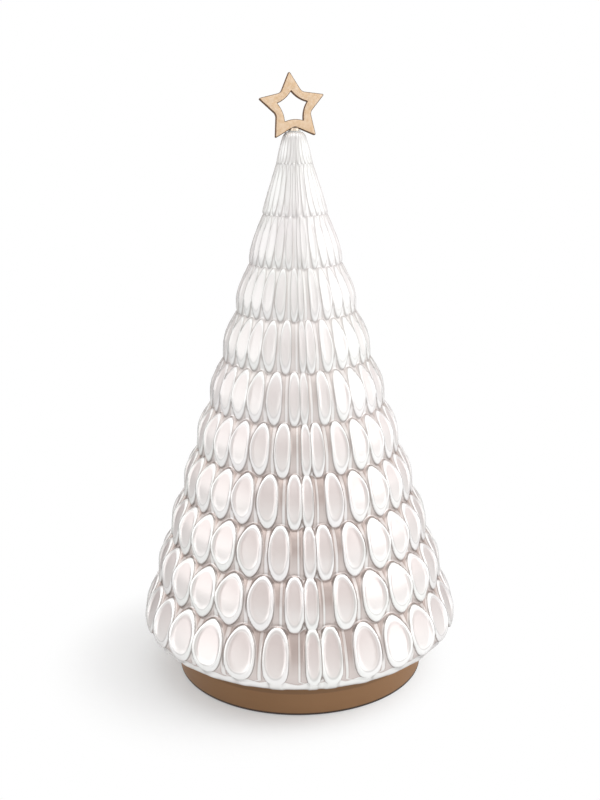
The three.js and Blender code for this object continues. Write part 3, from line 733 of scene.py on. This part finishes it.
# Painted highlight: a pale strip down the middle of a furrow where two ovals stand apart, for the
# light on its hollow floor.
HIGHLIGHT_STRIP_EDGE = (0.5, 1.5)
OPAL_RAMPS = {
    "drifting": ("drift", 0.35, 0.65, 0.0, 1.0, "LINEAR"),
    "lustre": ("height", 90 * MM, 230 * MM, 0.44, 0.2, "LINEAR"),
    "tinting": ("height", 130 * MM, 285 * MM, 1.0, 0.06, "LINEAR"),
    "line_fade": ("height", 90 * MM, 260 * MM, 1.0, 0.5, "LINEAR"),
    "line_width": ("height", 100 * MM, 290 * MM, 0.42, 0.28, "LINEAR"),
    "facet_tone": ("rise", 0.75, 0.2, 0.0, 1.0, "LINEAR"),
    "flute_tone": ("rise", 0.15, 0.8, 0.0, 1.0, "LINEAR"),
    "highlight_strip_level": ("rise", 0.35, 0.95, 0.8, 0.3, "LINEAR"),
    "in_facet": ("dish", 1.02, 0.86, 0.0, 1.0, "SMOOTHSTEP"),
    "in_flute": ("inside", 0.06, -0.18, 0.0, 1.0, "SMOOTHSTEP"),
    "highlight_strip_depth": ("inside", 0.0, -0.3, 0.0, 1.0, "LINEAR"),
    "apart": ("inside", -0.15, -0.4, 0.0, 1.0, "LINEAR"),
    "together": ("inside", -0.4, -0.2, 0.0, 1.0, "LINEAR"),
    "on_highlight_strip": ("from_meeting", HIGHLIGHT_STRIP_EDGE[1], HIGHLIGHT_STRIP_EDGE[0], 0.0, 1.0, "SMOOTHSTEP"),
}
# Painted crease shade: dark lines at dish edges, outlines, meetings and furrow flanks.
OPAL_LINES = {
    "dish_line": ("off_dish", 0.3),
    "outer_line": ("off_outline", 0.8),
    "meeting_line": ("off_meeting", 0.9),
    "flank_line": ("off_flank", 0.4),
}
OPAL_JOINS = {
    "facet_shade_share": ("in_facet", "MULTIPLY", "tinting"),
    "furrow_shade_share": ("in_flute", "MULTIPLY", "tinting"),
    "highlight_strip_here": ("on_highlight_strip", "MULTIPLY", "highlight_strip_level"),
    "painted_highlight_share": ("highlight_strip_here", "MULTIPLY", "highlight_strip_depth"),
    "touching": ("meeting_line", "MULTIPLY", "together"),
    "flanks": ("flank_line", "MULTIPLY", "apart"),
    "rims": ("dish_line", "MAXIMUM", "outer_line"),
    "rims_and_flanks": ("rims", "MAXIMUM", "flanks"),
    "every_line": ("rims_and_flanks", "MAXIMUM", "touching"),
    "crease_shade_share": ("every_line", "MULTIPLY", "line_fade"),
}
print("finish of the glass:", len(OPAL_RAMPS), "ramps and", len(OPAL_LINES), "lines")

# %% [markdown]
# The mesh carries six values at each point, and the finish is worked out from them, from the
# height and from one cloudy drift. Each is led through its ramps, a line is drawn where a
# distance is nearly 0, and the results are joined to shares. Then the tints are laid over the
# white one after the other, with the lines last.

# %% Opal glass


def opal_glass():
    """White rims, with painted shade and thin dark lines laid over them by share. A ramp goes from
    a first level to a second while what it reads goes from one value to another, straight or as a
    soft step. A line is full where its distance is 0 and gone at its width: the lines are painted
    crease shade. They follow the rims and the place where two ovals touch; where they stand apart,
    a pale painted highlight with a line on each flank runs down the furrow. Facets and furrows
    are both painted greyer in the upper part of a tier, as shade, and the lustre, painted shades
    and lines all lessen towards the tip."""
    material, tree, shader = new_material(
        "opal_glass_pearl_lustre",
        Roughness=0.25, IOR=1.5, Specular_Tint=linear("#8f8582"),
    )
    value = {
        title: add(tree, "Attribute", attribute_name=title).outputs["Fac"]
        for title in SHADE_MAPS
    }
    place = add(tree, "TexCoord").outputs["Object"]
    value["height"] = add(tree, "SeparateXYZ", {0: place}).outputs["Z"]
    value["drift"] = add(tree, "TexNoise", {
        "Vector": place, "Scale": per_metre(34), "Detail": 1.0,
    }).outputs[0]
    from_meeting = add(tree, "Math", {0: value["off_meeting"]}, operation="ABSOLUTE")
    value["from_meeting"] = from_meeting.outputs[0]
    value["off_flank"] = add(tree, "Math", {
        0: from_meeting.outputs[0], 1: HIGHLIGHT_STRIP_EDGE[1],
    }, operation="SUBTRACT").outputs[0]
    for title, (source, start, end, first, second, step) in OPAL_RAMPS.items():
        value[title] = add(tree, "MapRange", {
            "Value": value[source], "From Min": start, "From Max": end,
            "To Min": first, "To Max": second,
        }, interpolation_type=step).outputs[0]
    for title, (source, strength) in OPAL_LINES.items():
        distance = add(tree, "Math", {0: value[source]}, operation="ABSOLUTE")
        value[title] = add(tree, "MapRange", {
            "Value": distance.outputs[0], "From Min": value["line_width"], "From Max": 0.0,
            "To Min": 0.0, "To Max": strength,
        }).outputs[0]
    for title, (first, operation, second) in OPAL_JOINS.items():
        value[title] = add(
            tree, "Math", {0: value[first], 1: value[second]}, operation=operation,
        ).outputs[0]
    tone = {"line": linear(CREASE_SHADE_COLOUR)}
    for title, share, (first, second) in (
        ("pearl", "drifting", RIM_COLOURS),
        ("facet", "facet_tone", FACET_SHADE_COLOURS),
        ("flute", "flute_tone", FURROW_SHADE_COLOURS),
    ):
        tone[title] = add(tree, "Mix", {
            0: value[share], 6: linear(first), 7: linear(second),
        }, data_type="RGBA").outputs[2]
    coloured = tone["pearl"]
    # The painted shade of dishes and furrows, the painted highlight down the furrows and the
    # painted crease lines are laid over the white in turn.
    for share, title in (
        ("facet_shade_share", "facet"),
        ("furrow_shade_share", "flute"),
        ("painted_highlight_share", "pearl"),
        ("crease_shade_share", "line"),
    ):
        coloured = add(tree, "Mix", {
            0: value[share], 6: coloured, 7: tone[title],
        }, data_type="RGBA").outputs[2]
    tree.links.new(coloured, shader.inputs["Base Color"])
    tree.links.new(value["lustre"], shader.inputs["Metallic"])
    return material


OPAL = opal_glass()
glass = ring_mesh("glass_shell", rings, [OPAL], maps)
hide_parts("glass_tree")
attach(glass, "tree")
print("triangles of the glass:", sum(len(face.vertices) - 2 for face in glass.data.polygons))

# %% [markdown]
# The base is a board wrapped by a pressed pan of thin sheet, painted in a matte bronze
# brown. Such paint is sprayed and dries with a fine tooth, which is too small to see from
# a step away, so a very weak grain and a slight drift of tone stand for it.

# %% Bronze paint
PAINT_COLOURS = ("#8b6540", "#936c47")
# Painted shade along the foot of the pan: its colour and the band it fills.
CONTACT_SHADE_COLOUR = "#2e1e13"
CONTACT_SHADE_BAND = (1.2, 1.9)
# Painted shadow of the glass: from this band up the pan is darker, where the skirt of the glass
# overhangs it.
GLASS_SHADOW_BAND = (12.3, 13.0)
GLASS_SHADOW_LEVEL = 0.72


def bronze_paint():
    """Brown that drifts over some forty millimetres, with a spray grain under a millimetre.
    It is darker along the lower edge, a painted contact shadow, and from a band high on the wall
    upwards, a painted shadow of the glass."""
    material, tree, shader = new_material("matte_bronze_paint", Roughness=0.62)
    coords = add(tree, "TexCoord")
    drift = add(tree, "TexNoise", {
        "Vector": coords.outputs["Object"], "Scale": per_metre(40), "Detail": 2.0,
    })
    tone = add(tree, "Mix", {
        0: drift.outputs[0], 6: linear(PAINT_COLOURS[0]), 7: linear(PAINT_COLOURS[1]),
    }, data_type="RGBA")
    place = add(tree, "SeparateXYZ", {0: coords.outputs["Object"]})
    # Painted shade: the lowest millimetres of the pan turn dark brown, standing in for the contact
    # shadow where the base meets the pad and the floor.
    painted_contact_shade = add(tree, "MapRange", {
        "Value": place.outputs["Z"], "From Min": CONTACT_SHADE_BAND[0] * MM, "From Max": CONTACT_SHADE_BAND[1] * MM,
        "To Min": 0.0, "To Max": 1.0,
    }, interpolation_type="SMOOTHSTEP")
    # Painted shadow: above a band at about 13 mm, the wall and top of the pan are darkened for the
    # shade under the glass's skirt.
    painted_glass_shadow = add(tree, "MapRange", {
        "Value": place.outputs["Z"],
        "From Min": GLASS_SHADOW_BAND[0] * MM, "From Max": GLASS_SHADOW_BAND[1] * MM,
        "To Min": 1.0, "To Max": GLASS_SHADOW_LEVEL,
    }, interpolation_type="SMOOTHSTEP")
    level = add(tree, "Math", {0: painted_contact_shade.outputs[0], 1: painted_glass_shadow.outputs[0]}, operation="MULTIPLY")
    toned = add(tree, "Mix", {
        0: level.outputs[0], 6: linear(CONTACT_SHADE_COLOUR), 7: tone.outputs[2],
    }, data_type="RGBA")
    tree.links.new(toned.outputs[2], shader.inputs["Base Color"])
    grain = add(tree, "TexNoise", {
        "Vector": coords.outputs["Object"], "Scale": per_metre(0.8), "Detail": 2.0,
    })
    bump = add(tree, "Bump", {
        "Height": grain.outputs[0], "Strength": 0.15, "Distance": 0.05 * MM,
    })
    tree.links.new(bump.outputs[0], shader.inputs["Normal"])
    return material


BRONZE = bronze_paint()
print("paint:", BRONZE.name)

# %% [markdown]
# The pan, the centring plate and the candle cup are turned shapes with rounded edges. Each
# profile is a short list of corners, and one function rounds every corner that has a bend
# radius by an arc, so that the sheet looks pressed and not cut.

# %% Turned pieces
COLUMNS_TURNED = 192
ARC_STEPS = 6
SHARP_FROM_DEG = 35


def rounded(corners):
    """Closed outline from corners of radius, height and bend: a bend becomes an arc that
    touches both edges, worked out as a curve between the two touching points."""
    points = np.array([corner[:2] for corner in corners], float)
    bends = np.array([corner[2] for corner in corners], float)
    outline = []
    for at, (point, bend) in enumerate(zip(points, bends)):
        if bend == 0:
            outline.append(point)
            continue
        back = points[at - 1] - point
        ahead = points[(at + 1) % len(points)] - point
        back, ahead = back / np.linalg.norm(back), ahead / np.linalg.norm(ahead)
        half_angle = np.arccos(np.clip(back @ ahead, -1, 1)) / 2
        reach = bend / np.tan(half_angle)
        middle = (back + ahead) / np.linalg.norm(back + ahead)
        centre = point + middle * bend / np.sin(half_angle)
        start, end = point + back * reach - centre, point + ahead * reach - centre
        share = np.linspace(0, 1, ARC_STEPS + 1)[:, None]
        arc = start * (1 - share) + end * share
        outline += list(centre + arc / np.linalg.norm(arc, axis=1)[:, None] * bend)
    return np.array(outline)


def turned(name, corners, material):
    """A closed profile, anticlockwise round its material, turned round the axis."""
    azimuth = turn_of(COLUMNS_TURNED)
    rings = [ring_points(azimuth, radius, height) for radius, height in rounded(corners)]
    piece = ring_mesh(name, rings, [material])
    piece.data.set_sharp_from_angle(angle=math.radians(SHARP_FROM_DEG))
    return piece


def stand_for(piece, node, body):
    """The piece takes the place of a node and moves with its body."""
    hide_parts(node)
    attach(piece, body)
    print(f"{piece.name} for {node}: {len(piece.data.polygons)} faces")


print("turned pieces have", COLUMNS_TURNED, "columns")

# %% [markdown]
# The pan is thin steel sheet pressed over the board and open below, and the plate on it is a
# thin disc that keeps the rim of the glass from sliding sideways. Both could be cylinders
# with a bevel, but a turned profile shows each edge and its bend as one line of a list.

# %% Base pan and centring plate
pan_low, pan_high = box_mm("base_pan")
plate_low, plate_high = box_mm("centring_plate")
PAN_RADIUS = (pan_high[0] - pan_low[0]) / 2
PAN_SHEET = 1.2
SCREW_HOLE = 2.2
DIMPLE_OUTSIDE = 5.8
DIMPLE_PLAY = 0.3
pan_top, pan_bottom = pan_high[2], pan_low[2]
pan = turned("pressed_pan", [
    (SCREW_HOLE, pan_top - PAN_SHEET, 0),
    (PAN_RADIUS - PAN_SHEET, pan_top - PAN_SHEET, 0),
    (PAN_RADIUS - PAN_SHEET, pan_bottom, 0.3),
    (PAN_RADIUS, pan_bottom, 0.5),
    (PAN_RADIUS, pan_top, 0.9),
    (SCREW_HOLE, pan_top, 0),
], BRONZE)
stand_for(pan, "base_pan", "base")
plate_radius = (plate_high[0] - plate_low[0]) / 2
plate_hole = DIMPLE_OUTSIDE + DIMPLE_PLAY
plate = turned("turned_plate", [
    (plate_hole, plate_low[2], 0),
    (plate_radius, plate_low[2], 0),
    (plate_radius, plate_high[2], 0.6),
    (plate_hole, plate_high[2], 0.3),
], BRONZE)
stand_for(plate, "centring_plate", "base")

# %% [markdown]
# The star and the candle cup have a champagne plating over zinc, blasted to a matt skin: a
# soft gold without a mirror. The blasting leaves pits of a few tenths of a millimetre, drawn
# here a little coarser so that they show. The pin is polished, and the rounded edges and sides of
# the star get a dark bronze as painted shade, so one function makes all three from their colours
# and gloss.

# %% Champagne metal


def champagne_metal(name, face, dark, roughness, metallic):
    """Gold that mottles over a few millimetres, with blasted pits as bump."""
    material, tree, shader = new_material(name, Roughness=roughness, Metallic=metallic)
    coords = add(tree, "TexCoord")
    mottle = add(tree, "TexNoise", {
        "Vector": coords.outputs["Object"], "Scale": per_metre(1.7), "Detail": 4.0,
    })
    spread = add(tree, "MapRange", {
        "Value": mottle.outputs[0], "From Min": 0.2, "From Max": 0.8,
    })
    tone = add(tree, "Mix", {
        0: spread.outputs[0], 6: linear(face), 7: linear(dark),
    }, data_type="RGBA")
    tree.links.new(tone.outputs[2], shader.inputs["Base Color"])
    pits = add(tree, "TexNoise", {
        "Vector": coords.outputs["Object"], "Scale": per_metre(0.6), "Detail": 2.0,
    })
    bump = add(tree, "Bump", {
        "Height": pits.outputs[0], "Strength": 0.35, "Distance": 0.08 * MM,
    })
    tree.links.new(bump.outputs[0], shader.inputs["Normal"])
    return material


CHAMPAGNE = champagne_metal("champagne_plated_zinc", "#ead5bd", "#d6b48a", 0.5, 0.45)
POLISHED = champagne_metal("polished_champagne", "#f6ead9", "#efdcc4", 0.2, 0.6)
# Painted shade: the star's rounded edges and sides get a dark bronze for their shaded sides.
STAR_EDGE_SHADE = champagne_metal("star_edge_painted_shade", "#6b4c30", "#5a3f28", 0.55, 0.45)
print("metals:", [metal.name for metal in (CHAMPAGNE, POLISHED, STAR_EDGE_SHADE)])

# %% [markdown]
# The cup is drawn from sheet, and its rim is rolled outwards. A dimple in its floor goes down
# through the plate to the pan and takes the head of the screw, so that a candle stands flat.
# Wall, floor, dimple and roll are one closed profile, which leaves no seam between them.

# %% Candle cup
cup_high = box_mm("candle_cup")[1]
CUP_SHEET = 0.8
CUP_INSIDE = 20.3
ROLL_RADIUS = 1.1
DIMPLE_INSIDE = 5.0
cup_floor = plate_high[2] + CUP_SHEET
cup_top = cup_high[2]
lip = CUP_INSIDE + 2 * ROLL_RADIUS
cup = turned("drawn_cup", [
    (SCREW_HOLE, pan_top, 0),
    (DIMPLE_OUTSIDE, pan_top, 0.3),
    (DIMPLE_OUTSIDE, plate_high[2], 0.3),
    (CUP_INSIDE + CUP_SHEET, plate_high[2], 1.5),
    (CUP_INSIDE + CUP_SHEET, cup_top - 2 * ROLL_RADIUS, 0.2),
    (lip, cup_top - 2 * ROLL_RADIUS, 0.6),
    (lip, cup_top, 1.0),
    (CUP_INSIDE, cup_top, 1.0),
    (CUP_INSIDE, cup_floor, 0.7),
    (DIMPLE_INSIDE, cup_floor, 0.4),
    (DIMPLE_INSIDE, pan_top + CUP_SHEET, 0.3),
    (SCREW_HOLE, pan_top + CUP_SHEET, 0),
], CHAMPAGNE)
stand_for(cup, "candle_cup", "base")

# %% [markdown]
# The star is a flat plate with a star-shaped hole, cut from sheet and tumbled until its
# edges are soft. First its two lines: straight edges between rounded tips and notches
# outside, and five sides that bow inwards for the hole. A quadratic curve rounds a corner.

# %% Outline and hole of the star
STAR_RADIUS = 18.8
NOTCH_RADIUS = 9.8
HOLE_TIP_RADIUS = 8.5
HOLE_PINCH_RADIUS = 5.2
TIP_ROUND = 0.11
NOTCH_ROUND = 0.14
STAR_STEPS = 24


def star_corner(radius, tenths):
    """A point at a number of tenths of a turn from straight up."""
    angle = np.pi / 2 + tenths * np.pi / 5
    return radius * np.array([np.cos(angle), np.sin(angle)])


def bent(start, corner, end, steps):
    """Points of a quadratic curve, its end left out."""
    share = (np.arange(steps) / steps)[:, None]
    return (1 - share) ** 2 * start + 2 * share * (1 - share) * corner + share ** 2 * end


def star_outline():
    """Ten straight edges with rounded tips and wider rounded notches."""
    points = []
    for tenths in range(10):
        tip = tenths % 2 == 0
        near, far = (STAR_RADIUS, NOTCH_RADIUS) if tip else (NOTCH_RADIUS, STAR_RADIUS)
        corner = star_corner(near, tenths)
        before, after = star_corner(far, tenths - 1), star_corner(far, tenths + 1)
        share = TIP_ROUND if tip else NOTCH_ROUND
        start, end = corner + (before - corner) * share, corner + (after - corner) * share
        points.append(bent(start, corner, end, STAR_STEPS))
        rest = corner + (after - corner) * (1 - (NOTCH_ROUND if tip else TIP_ROUND))
        points.append(end + (rest - end) * (np.arange(STAR_STEPS) / STAR_STEPS)[:, None])
    return np.concatenate(points)


def star_hole():
    """Five sides that bow inwards between sharp tips."""
    sides = [
        bent(
            star_corner(HOLE_TIP_RADIUS, 2 * tip - 2),
            star_corner(HOLE_PINCH_RADIUS, 2 * tip - 1),
            star_corner(HOLE_TIP_RADIUS, 2 * tip),
            2 * STAR_STEPS,
        )
        for tip in range(1, 6)
    ]
    return np.concatenate(sides)


print("points of the outline and the hole:", len(star_outline()), len(star_hole()))

# %% [markdown]
# The section of the plate is a small rounded rectangle that runs round between the hole and
# the outline. Both are curves seen from the middle, so one set of directions gives a point on
# each, and the section is carried round through them. The star stands a little to the right
# of the middle of its box in the frame and a little lower, by the offset below.

# %% Star plate
STAR_THICKNESS = 2.4
STAR_ROLL_DEG = 2.8
STAR_YAW_DEG = 15
STAR_LEAN_DEG = -10
STAR_OFFSET = (0.8, 0.0, -0.4)
EDGE_ROUND = 0.35
STAR_DIRECTIONS = 800
EDGE_ANGLES_DEG = (0, 22.5, 45, 67.5, 90)


def by_direction(outline, directions):
    """The outline's radius in each direction from the middle."""
    angle = np.unwrap(np.arctan2(outline[:, 1], outline[:, 0]))
    angle = np.concatenate([angle - 2 * np.pi, angle, angle + 2 * np.pi])
    radius = np.tile(np.hypot(*outline.T), 3)
    return np.interp(directions, angle, radius)


def outward(loop):
    """Unit vectors square to a closed anticlockwise loop, pointing away from its middle."""
    run = np.roll(loop, -1, axis=0) - np.roll(loop, 1, axis=0)
    run /= np.linalg.norm(run, axis=1)[:, None]
    return np.stack([run[:, 1], -run[:, 0]], 1)


def star_section():
    """Steps round the section: which loop (0 outer, 1 hole), how far it is drawn in towards
    the other loop, and the height in the plate, both in millimetres. Its four edges are
    quarter circles: one less the cosine of the turn inwards, the sine of it in height."""
    half = STAR_THICKNESS / 2
    turns = np.radians(EDGE_ANGLES_DEG)
    inset = EDGE_ROUND * (1 - np.cos(turns))
    height = half - EDGE_ROUND + EDGE_ROUND * np.sin(turns)
    front_outer = [(0, a, b) for a, b in zip(inset, height)]
    front_hole = [(1, a, b) for a, b in zip(inset[::-1], height[::-1])]
    back_hole = [(1, a, -b) for a, b in zip(inset, height)]
    back_outer = [(0, a, -b) for a, b in zip(inset[::-1], height[::-1])]
    return front_outer + front_hole + back_hole + back_outer


def star_plate():
    """The section carried round the star, then rolled, stood up, leaned back and turned."""
    directions = np.pi / 2 + turn_of(STAR_DIRECTIONS)
    loops = []
    for outline in (star_outline(), star_hole()):
        radius = by_direction(outline, directions)
        loops.append(np.stack([radius * np.cos(directions), radius * np.sin(directions)], 1))
    normals = [outward(loops[0]), -outward(loops[1])]
    rings = []
    for loop, inset, height in star_section():
        flat = loops[loop] - normals[loop] * inset
        rings.append(np.column_stack([flat, np.full(len(flat), height)]))
    stand = (
        Matrix.Rotation(math.radians(STAR_YAW_DEG), 3, "Z")
        @ Matrix.Rotation(math.radians(STAR_LEAN_DEG), 3, "X")
        @ Matrix.Rotation(math.radians(90), 3, "X")
        @ Matrix.Rotation(math.radians(STAR_ROLL_DEG), 3, "Z")
    )
    rings = [ring @ np.array(stand).T for ring in rings]
    low, high = box_mm("star_plate")
    every = np.concatenate(rings)
    move = (low + high) / 2 - (every.min(0) + every.max(0)) / 2 + STAR_OFFSET
    plate = ring_mesh("star", [ring + move for ring in rings], [CHAMPAGNE, STAR_EDGE_SHADE])
    # The rounded edges and sides take the second material, the painted shade; the two flat faces
    # keep the champagne.
    strip = np.arange(len(plate.data.polygons)) // len(directions)
    edge = (strip != len(rings) // 4 - 1) & (strip != 3 * len(rings) // 4 - 1)
    plate.data.polygons.foreach_set("material_index", edge.astype(np.int32))
    return plate


star = star_plate()
stand_for(star, "star_plate", "tree")

# %% [markdown]
# What stays hidden until the tree is lifted or the base is turned over keeps the shape that
# the frame gives it, and gets a finish of its own. The screw, nuts and washers are bright
# zinc on steel. Zinc that settles on steel grows flat crystals, which a cell pattern gives.

# %% Zinc plating


def zinc_steel():
    """Grey metal whose crystals, the spangle of the plating, show at about a millimetre."""
    material, tree, shader = new_material("bright_zinc_plating", Metallic=1.0, Roughness=0.35)
    coords = add(tree, "TexCoord")
    spangle = add(tree, "TexVoronoi", {
        "Vector": coords.outputs["Object"], "Scale": per_metre(1.2),
    })
    tone = add(tree, "Mix", {
        0: spangle.outputs["Distance"], 6: linear("#bdbfc2"), 7: linear("#a2a5aa"),
    }, data_type="RGBA")
    tree.links.new(tone.outputs[2], shader.inputs["Base Color"])
    return material


ZINC = zinc_steel()
print("plating:", ZINC.name)

# %% [markdown]
# The grommet is moulded of clear silicone. Such rubber lets light in but scatters it, so it
# is milky with a soft shine, and part of its light is passed on and bent by the index 1.41.

# %% Silicone


def clear_silicone():
    """Milky rubber, a little cloudier in places a few millimetres wide."""
    material, tree, shader = new_material(
        "clear_silicone_rubber", Roughness=0.4, IOR=1.41, Transmission_Weight=0.35,
    )
    coords = add(tree, "TexCoord")
    cloud = add(tree, "TexNoise", {"Vector": coords.outputs["Object"], "Scale": per_metre(3)})
    tone = add(tree, "Mix", {
        0: cloud.outputs[0], 6: linear("#efeeeb"), 7: linear("#e1dfda"),
    }, data_type="RGBA")
    tree.links.new(tone.outputs[2], shader.inputs["Base Color"])
    return material


SILICONE = clear_silicone()
print("rubber:", SILICONE.name)

# %% [markdown]
# The board is sawn fibreboard without any coat. Its cut face shows short strands, pale and
# dark, and they stand up a little, so the same noise colours it and raises it.

# %% Fibreboard


def raw_fibreboard():
    """Pressed wood fibre: short pale and dark strands about a millimetre long."""
    material, tree, shader = new_material("raw_fibreboard", Roughness=0.9)
    coords = add(tree, "TexCoord")
    strands = add(tree, "TexNoise", {
        "Vector": coords.outputs["Object"], "Scale": per_metre(1.1), "Detail": 6.0,
        "Distortion": 1.5,
    })
    tone = add(tree, "Mix", {
        0: strands.outputs[0], 6: linear("#b8966a"), 7: linear("#8d6c45"),
    }, data_type="RGBA")
    tree.links.new(tone.outputs[2], shader.inputs["Base Color"])
    bump = add(tree, "Bump", {
        "Height": strands.outputs[0], "Strength": 0.4, "Distance": 0.1 * MM,
    })
    tree.links.new(bump.outputs[0], shader.inputs["Normal"])
    return material


FIBREBOARD = raw_fibreboard()
print("board:", FIBREBOARD.name)

# %% [markdown]
# The pad is pressed wool felt, dyed black. Its loose ends catch light at a low angle, which
# a sheen gives, and its matted ground is never quite even.

# %% Felt


def wool_felt():
    """Matted black fibres: a cloudy ground of three millimetres and a nap far finer."""
    material, tree, shader = new_material(
        "black_wool_felt", Roughness=1.0, Sheen_Weight=0.4, Sheen_Roughness=0.6,
    )
    coords = add(tree, "TexCoord")
    cloud = add(tree, "TexNoise", {
        "Vector": coords.outputs["Object"], "Scale": per_metre(3), "Detail": 5.0,
    })
    tone = add(tree, "Mix", {
        0: cloud.outputs[0], 6: linear("#26221f"), 7: linear("#3a3531"),
    }, data_type="RGBA")
    tree.links.new(tone.outputs[2], shader.inputs["Base Color"])
    nap = add(tree, "TexNoise", {
        "Vector": coords.outputs["Object"], "Scale": per_metre(0.5), "Detail": 4.0,
    })
    bump = add(tree, "Bump", {
        "Height": nap.outputs[0], "Strength": 0.7, "Distance": 0.2 * MM,
    })
    tree.links.new(bump.outputs[0], shader.inputs["Normal"])
    return material


FELT = wool_felt()
print("felt:", FELT.name)

# %% [markdown]
# Each kept piece now gets its finish. The pin is one of them, though a bit of its collar
# shows in the lower notch of the star: it has the polished metal from above.

# %% Finishes of the kept pieces
kept_finishes = {
    "cup_screw": ZINC,
    "cup_washer": ZINC,
    "cup_nut": ZINC,
    "pin_washer": ZINC,
    "pin_nut": ZINC,
    "tip_grommet": SILICONE,
    "base_board": FIBREBOARD,
    "foot_pad": FELT,
    "star_pin": POLISHED,
}
for name, finish in kept_finishes.items():
    nodes[name].data.materials.clear()
    nodes[name].data.materials.append(finish)
print("kept nodes:", ", ".join(kept_finishes))
